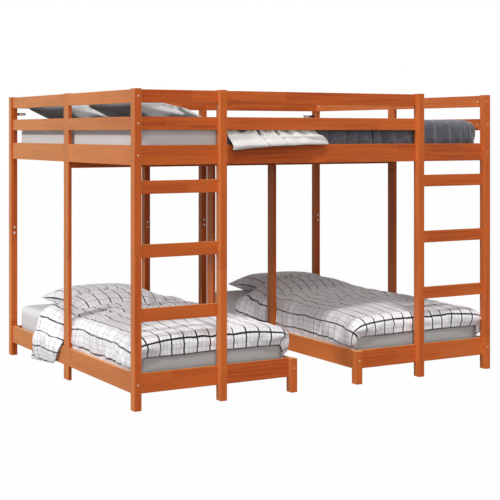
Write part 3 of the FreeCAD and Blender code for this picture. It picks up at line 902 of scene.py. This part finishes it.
# the left duvet hangs out over its rail near the head: how far the cloth reaches past the mattress,
# by place along the bed, and the way it takes as (outwards, down) from the mattress edge
flapReach = ((-0.045, 0.1705), (-0.020, 0.150), (0.004, 0.076), (0.024, 0.112), (0.048, 0.162),
             (0.068, 0.205), (0.088, 0.240), (0.112, 0.260), (0.260, 0.274), (0.400, 0.286), (0.500, 0.290))
flapWay = ((0, 0), (0.020, 0.004), (0.038, 0.018), (0.047, 0.040), (0.053, 0.065), (0.0605, 0.102),
           (0.0672, 0.111), (0.0722, 0.124), (0.0730, 0.320))
flapSteps = stepsOf(flapWay)


def foldOver(a, b, halfX, halfY, r, flap=0.0):
    # a flat place (a, b) becomes a place on a rounded slab: place, drop and outward direction
    qx = max(abs(a) - halfX, 0.0) * (1 if a > 0 else -1)
    qy = min(b + halfY, 0.0)
    d = math.hypot(qx, qy)
    if d < 1e-9:
        return a, b, 0.0, Vector((0, 0, 1))
    way = Vector((qx / d, qy / d, 0))
    turn = min(d / r, math.pi / 2)
    out = r * math.sin(turn)
    drop = r * (1 - math.cos(turn)) + max(d - r * math.pi / 2, 0.0)
    rise = math.cos(turn)
    if flap > 0 and qx < 0:
        flapOut, flapDrop = onWay(flapWay, flapSteps, d)
        aheadOut, aheadDrop = onWay(flapWay, flapSteps, d + 0.006)
        slope = math.hypot(aheadOut - flapOut, aheadDrop - flapDrop) or 1.0
        out, drop = mix(out, flapOut, flap), mix(drop, flapDrop, flap)
        rise = mix(rise, (aheadOut - flapOut) / slope, flap)
    normal = way * math.sqrt(max(0.0, 1 - rise * rise)) + Vector((0, 0, 1)) * rise
    return clamp(a, -halfX, halfX) + way.x * out, max(b, -halfY) + way.y * out, drop, normal


def ridged(place):
    return (1 - abs(noise.noise(place)) * 2) ** 2


def wrinkle(x, y, seed):
    # soft rolls with a few sharp creases across them
    warp = [noise.noise(Vector((x * 3, y * 3, seed + more))) for more in (0, 9)]
    at = Vector((x * 2.6, y * 4.2, seed)) + Vector((*warp, 0)) * 0.5
    soft = noise.noise(at) * 0.010 + noise.noise(at * 2.3) * 0.005
    sharp = ridged(at * 1.5) * -0.008 + ridged(at * 3.1 + Vector((4, 0, 0))) * -0.005
    fine = ridged(at * 5.2 + Vector((0, 7, 0))) ** 2 * -0.003
    return soft + sharp + fine + 0.005


def pull(x, y, seed):
    # how far the creases draw the cloth, and its lines, sideways
    e, reach = 0.008, 0.016
    alongX = (wrinkle(x + e, y, seed) - wrinkle(x - e, y, seed)) / (2 * e)
    alongY = (wrinkle(x, y + e, seed) - wrinkle(x, y - e, seed)) / (2 * e)
    return alongX * reach, alongY * reach


def topOf(obj):
    mesh = obj.data
    points = [v.co.copy() for v in mesh.vertices]
    tree = BVHTree.FromPolygons(points, [tuple(p.vertices) for p in mesh.polygons])
    def height(x, y):
        hit = tree.ray_cast(Vector((x, y, 2.0)), Vector((0, 0, -1)))
        return hit[0].z if hit[0] else -1.0
    return height


def cornerLine(drop):  # where the right duvet's head corner lies folded over its side
    return 0.006 + drop * 0.72


def makeLowerDuvet(side):
    d = lowerDuvet
    own, left = d[side], side == "left"
    seed = own["seed"]
    low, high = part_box(side + "_bed_mattress")
    midX = (low[0] + high[0]) / 2
    r = d["bend"]
    taken = r * math.pi / 2 - r           # cloth that the bend takes up
    halfX = (high[0] - low[0]) / 2 - r + d["slack"]
    coreY = low[1] + r - d["slack"]
    reachIn = taken + d["side"]
    startB, endB = coreY - taken - d["foot"], d["head"]
    nu = round(2 * (halfX + reachIn) / d["step"])
    nv = round((endB - startB) / d["step"])
    pillowTop = topOf(pillows[side])
    def sheet(u, v):  # flat place, and how far the cloth reaches past the mattress there
        b = mix(startB, endB, v)
        b -= 0.006 * noise.noise(Vector((u * 5, seed, 0))) * (1 - smooth(v * 8))
        reach = float(np.interp(b, *zip(*flapReach))) if left else reachIn
        a = mix(-(halfX + reach), halfX + reachIn, u)
        if left:
            b += 0.075 * smooth((-a - halfX) / 0.27) * smooth((v - 0.6) / 0.4)
        return a, b, reach
    def filling(a, b, y, drop, edge, flap):  # thickness before the wrinkles
        beyond = a < -halfX
        crowned = d["crown"] * (1 - min(abs(a) / halfX, 1.0) ** 2.6)
        crowned = d["thick"] + crowned * (0.35 + 0.65 * smooth((b - coreY) / 0.35))
        inside = smooth(edge / d["hemRun"])
        thick = mix(d["hem"], crowned, inside)
        overFlap = flap if beyond else 0.0
        thick = mix(thick, d["sideFull"], smooth(drop / d["sideRun"]) * inside * (1 - overFlap))
        if overFlap > 0:
            thick = mix(thick, mix(0.010, 0.024, smooth(edge / 0.09)), overFlap * smooth(drop / 0.08))
        else:  # thin where it goes down beside the rail
            slipped = smooth((drop - d["thinFrom"]) / (d["thinTo"] - d["thinFrom"]))
            thick = mix(thick, d["sideThick"], slipped)
        above = 1 - smooth((drop - d["thinFrom"]) / d["calmRun"])
        hanging = smooth((drop - d["hangFrom"]) / d["hangFrom"]) * above * own["hang"]
        if not left and beyond:  # the head corner lies folded over the side
            folded = smooth((y - cornerLine(drop)) / 0.012) * smooth((drop - 0.004) / 0.02)
            thick += d["flare"] * folded * (hanging * 0.5 + 0.5) * above
        if left and beyond and y < d["ruffleFrom"]:  # it crumples on the rail near the front post
            ruck = smooth((d["ruffleFrom"] - y) / 0.12) * noise.noise(Vector((y * 42, drop * 25, 3)))
            thick += d["ruffle"] * hanging * ruck
        return thick
    def place(u, v, layer):
        a, b, reach = sheet(u, v)
        flap = smooth(b / 0.02) if left else 0.0
        x, y, drop, normal = foldOver(a, b, halfX, -coreY, r, flap)
        edge = min(a + halfX + reach, halfX + reachIn - a, b - startB, (1 - v) * (endB - startB))
        z = high[2] + d["lift"] - drop
        onTop = 1 - smooth(drop / d["topDrop"])
        hump = 1 / (1 + (a / d["bulgeSpread"]) ** 4) * onTop
        under = smooth((y - 0.27) / 0.075) * d["bulge"] * 0.85 * hump
        onBed = drop < d["bedDrop"]
        floor = max(z + under, pillowTop(midX + x, y) + d["pillowGap"]) if onBed else z
        if layer < 1:
            return (midX + x, y, floor)
        rough = wrinkle(x, y, seed) * mix(0.35, 1.0, onTop) * smooth(edge / 0.06)
        rough *= mix(0.6, 1.3, smooth((y + 0.45) / 0.3))
        sway = d["creaseSway"] * noise.noise(Vector((x * 4, seed, 5)))
        crease = math.exp(-((y - d["crease"] - sway) / d["creaseWidth"]) ** 2)
        thick = filling(a, b, y, drop, edge, flap) + (rough - d["creaseDepth"] * crease * onTop)
        top = Vector((midX + x, y, z)) + normal * max(thick, d["least"])
        if onBed:
            part = clamp((y - d["crease"]) / (d["head"] - d["crease"]))
            bulge = math.sin(part * math.pi / 2) ** 0.9 * d["bulge"] * hump
            top.z = max(top.z + bulge, floor + mix(0.006, 0.013, smooth((1 - v) * 30)))
        return tuple(top)
    def cut(u, v):  # where the check's lines fall, drawn aside by the creases
        a, b, _ = sheet(u, v)
        at = Vector((a * 4.5, b * 4.5, seed))
        drawnX, drawnY = pull(a, b, seed)
        if not left and a < -halfX * d["flank"]:
            folded = max(0.0, b - cornerLine(max(-halfX - a, 0.0) * 0.8))
            a -= d["askew"] * folded * smooth((-halfX * d["flank"] - a) / 0.1)
        fromFoot = smooth((b - startB) / 0.16)
        calm = mix(0.45, 1.0, smooth((b + 0.45) / 0.3)) * fromFoot
        swayX = 0.008 * noise.noise(at) + 0.004 * noise.noise(at * 3) + drawnX * calm
        swayY = (0.008 * noise.noise(at + Vector((7, 3, 0))) + 0.003 * noise.noise(at * 3 + Vector((1, 8, 0)))
                 + drawnY * calm) * fromFoot
        pitch, crossPitch = d["pitch"]
        return ((a - own["firstLine"] + swayX) * pitch / own["pitch"],
                (b - coreY + d["footLine"] + swayY) * pitch / crossPitch)
    piece, held = gridMesh(side + "_bed_duvet_soft", nu, nv, place, cut)
    # marks every edge of the cover for the dark line, which is partly painted shadow under the edge
    hem = piece.data.attributes.new("hemLine", "FLOAT", "POINT")
    for j in range(nv + 1):
        for i in range(nu + 1):
            if i in (0, nu) or j in (0, nv - 1, nv):
                hem.data[j * (nu + 1) + i].value = 1.0
    return piece, held


tuck = {"gap": 0.0135, "over": 0.004, "outside": 0.015, "off": 0.0012}


def holdInside(piece, side):  # keeps the cover off the rails and the mattress
    low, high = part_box(side + "_bed_mattress")
    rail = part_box("left_end_bed_rail")
    gap, edgeX = tuck["gap"], rail[0][0]
    points = coords(piece.data)
    lowPart = points[:, 2] < rail[1][2] + tuck["over"]
    outside = (points[:, 1] > tuck["outside"]) & (points[:, 0] < edgeX + tuck["over"]) & (side == "left")
    inside = lowPart & ~outside
    points[inside, 0] = np.clip(points[inside, 0], low[0] - gap, high[0] + gap)
    points[inside, 1] = np.maximum(points[inside, 1], low[1] - gap)
    hung = lowPart & outside
    points[hung, 0] = np.minimum(points[hung, 0], edgeX - tuck["off"])
    setCoords(piece, points)


for side in ("left", "right"):
    piece, held = makeLowerDuvet(side)
    puff(piece, held, lowerDuvet)
    holdInside(piece, side)
    subdivided(piece)
    finishPiece(piece, checkCotton, "grid_cotton", side + "_bed_duvet")
print("lower duvets made")

platformDuvet = {
    "start": -0.552, "bend": 0.04, "thick": 0.009, "hem": 0.006, "sideThick": 0.017,
    "side": 0.125, "end": 0.125, "step": 0.0165, "pressure": 2.0, "grow": 0.06, "cap": 0.006,
    "frames": 20, "slack": 0.001, "lift": 0.0008, "least": 0.004, "most": 0.026, "railOver": 0.003,
    # (place along the bed, half width, depth) of the pleats down its front
    "pleats": ((0.045, 0.018, 0.014), (0.160, 0.020, 0.017), (0.220, 0.018, 0.015), (0.304, 0.012, 0.012),
               (0.375, 0.028, 0.015), (0.56, 0.026, 0.010), (0.64, 0.02, 0.009), (0.72, 0.024, 0.011),
               (0.81, 0.02, 0.009), (0.88, 0.016, 0.009), (0.917, 0.010, 0.009)),
    "endThick": 0.004, "seed": 50.0, "rough": 0.45, "ripple": 0.0035,
}


def furrow(off, rim):  # a crease with a raised rim on both sides
    return rim * math.exp(-(abs(off) - 1.5) ** 2) - math.exp(-off * off)


def makePlatformDuvet():
    d = platformDuvet
    low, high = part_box("platform_mattress")
    r = d["bend"]
    taken = r * math.pi / 2 - r
    halfY, endX = high[1] - r + d["slack"], high[0] - r + d["slack"]
    spanB, lastA = halfY + taken + d["side"], endX + taken + d["end"]
    def sheet(u, v):
        return mix(d["start"], lastA, u), mix(-spanB, spanB, v)
    def place(u, v, layer):
        a, b = sheet(u, v)
        y, minusX, drop, way = foldOver(b, -a, halfY, endX, r)
        x, z = -minusX, high[2] + d["lift"] - drop
        if layer < 1:
            return (x, y, z)
        edge = min(spanB - abs(b), lastA - a, a - d["start"])
        thick = mix(d["hem"], d["thick"], smooth(edge / 0.05))
        thick = mix(thick, d["sideThick"], smooth((drop - r) / 0.05))
        thick = mix(thick, d["endThick"], smooth((a - endX + 0.03) / 0.05))
        rough = wrinkle(y, x, d["seed"]) * d["rough"] * (1 - smooth(drop / 0.09))
        pleat = d["ripple"] * noise.noise(Vector((x * 16, y * 1.5, 3.0))) * smooth(drop / 0.02)
        for middle, width, depth in d["pleats"] if y < 0 else ():
            off = (x - middle + 0.1 * (drop - 0.05)) / width
            pleat += 1.5 * depth * smooth(drop / 0.03) * furrow(off, 0.6)
        thick += rough * smooth(edge / 0.06) + pleat
        normal = Vector((-way.y, way.x, way.z))
        return tuple(Vector((x, y, z)) + normal * clamp(thick, d["least"], d["most"]))
    nu, nv = round((lastA - d["start"]) / d["step"]), round(2 * spanB / d["step"])
    piece, held = gridMesh("platform_duvet_soft", nu, nv, place, sheet)
    puff(piece, held, d)
    gap, points = tuck["gap"], coords(piece.data)
    inRail = points[:, 2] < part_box("front_platform_rail")[1][2] + d["railOver"]
    points[inRail, 0] = np.minimum(points[inRail, 0], high[0] + gap)
    points[inRail, 1] = np.clip(points[inRail, 1], low[1] - gap, high[1] + gap)
    setCoords(piece, points)
    return piece


piece = makePlatformDuvet()
subdivided(piece)
finishPiece(piece, darkCotton, "dark_cotton", "platform_duvet")

# its pale reverse, folded out over the front rail
fold = {
    "left": (-0.530, -0.540), "right": (-0.043, 0.0165),
    "way": ((0.082, 1.306), (0.064, 1.290), (0.0535, 1.2575), (0.046, 1.240), (0.034, 1.212), (0.0195, 1.193),
            (0.013, 1.184), (0.0125, 1.150)),  # (back from the front face, height)
    "hem": (1.161, 0.026), "thick": 0.005, "steps": (120, 30), "standOff": 0.034,
    # (place, half width, depth at the top, depth all the way down), drifting to the right on the way
    "pleats": ((0.15, 0.04, 0.0, 0.004), (0.325, 0.014, 0.030, 0.010), (0.52, 0.013, 0.028, 0.009),
               (0.66, 0.028, 0.010, 0.004), (0.81, 0.028, 0.010, 0.003)),
    "drift": 0.08,
}
foldSteps = stepsOf(fold["way"])


def foldPlace(u, v, layer):
    hemZ = fold["hem"][0] + fold["hem"][1] * (1 - (1 - u) ** 2)
    total = foldSteps[-1] - (hemZ - fold["way"][-1][1])
    back, z = onWay(fold["way"], foldSteps, v * total)
    x = mix(mix(*fold["left"], v), mix(*fold["right"], smooth((v - 0.35) / 0.6)), u)
    bell = math.sin(math.pi * clamp((v - 0.25) / 0.75))
    lean = 0.0
    for middle, width, depth, creaseDepth in fold["pleats"]:
        off = (u - middle - fold["drift"] * max(v - 0.3, 0.0)) / (width * (1 + 0.8 * v))
        deep = depth * (1 - smooth((v - 0.36) / 0.34)) + creaseDepth * smooth(v / 0.5)
        lean += deep * furrow(off, 0.5)
    wave = 0.004 * noise.noise(Vector((u * 9, v * 1.5, 1.7))) * v
    standOff = fold["standOff"] * (1 - u ** 4) * smooth((v - 0.45) / 0.45) + 0.006 * bell
    frontFace = cadBox[0][1]
    y = frontFace + back - lean - wave - standOff
    if v > 0.62:
        y = min(y, frontFace + 0.0145)
    y -= fold["thick"] * layer * min(1.0, 12 * min(u, 1 - u, v, 1 - v))
    return (x, y, z + 0.002 * noise.noise(Vector((u * 6, v * 2, 8.0))))


piece, _ = gridMesh("platform_duvet_fold", *fold["steps"], foldPlace, lambda u, v: (u * 0.55, v * 0.19))
subdivided(piece)
finishPiece(piece, paleCotton, "grey_cotton", "platform_duvet")
print("platform duvet made")

# stage and light

light = {
    "suns": {  # energy, angle in degrees, the way it shines
        "key": (2.12, 8, (0.80, 0.06, -0.59)),
        "frontLeft": (0.70, 10, (0.43, 0.72, -0.54)),
        "steep": (1.80, 7, (0.05, 0.37, -0.93)),
        "low": (0.64, 20, (0.36, 0.92, -0.12)),
    },
    "world": 0.30, "gloss": 0.6,
    "floorWhite": 0.99, "floorColour": 0.2, "floorReach": 30, "floorDrop": 0.0005,
}
for title, (energy, angle, way) in light["suns"].items():
    sunData = bpy.data.lights.new(title + "Light", "SUN")
    sunData.energy = energy
    sunData.angle = math.radians(angle)
    sun = link(bpy.data.objects.new(title + "Light", sunData))
    sun.rotation_euler = Vector(way).to_track_quat("-Z", "Y").to_euler()

world = bpy.data.worlds.new("studio")
bpy.context.scene.world = world
world.use_nodes = True
world.node_tree.nodes.clear()
t = Tree(world.node_tree)
ray = t.add("ShaderNodeLightPath").outputs
seen = t.math("MAXIMUM", ray["Is Camera Ray"], ray["Is Transmission Ray"])
dim, shiny, bright = (t.add("ShaderNodeBackground", {"Color": white, "Strength": strength})
                      for strength in (light["world"], light["gloss"], 1.0))
lit = t.mixShader(ray["Is Glossy Ray"], dim, shiny)
t.add("ShaderNodeOutputWorld", {0: t.mixShader(seen, lit, bright).outputs[0]})

floorMesh = bpy.data.meshes.new("floor")
reach = light["floorReach"]
corners = [(x * reach, y * reach, 0) for x, y in ((-1, -1), (1, -1), (1, 1), (-1, 1))]
floorMesh.from_pydata(corners, [], [(0, 1, 2, 3)])
floor = link(bpy.data.objects.new("floor", floorMesh))
floor.location.z = -light["floorDrop"]
floorMaterial, t, _ = newMaterial("paleFloor")
floorMaterial.node_tree.nodes.clear()
ray = t.add("ShaderNodeLightPath").outputs
grey = light["floorColour"]
matte = t.add("ShaderNodeBsdfDiffuse", {"Color": (grey, grey, grey, 1)})
glow = t.add("ShaderNodeEmission", {"Color": white, "Strength": 1.0})
share = t.times(ray["Is Camera Ray"], light["floorWhite"])
t.add("ShaderNodeOutputMaterial", {0: t.mixShader(share, matte, glow).outputs[0]})
floorMesh.materials.append(floorMaterial)
bpy.context.scene.view_settings.view_transform = "Standard"

print("stage set")
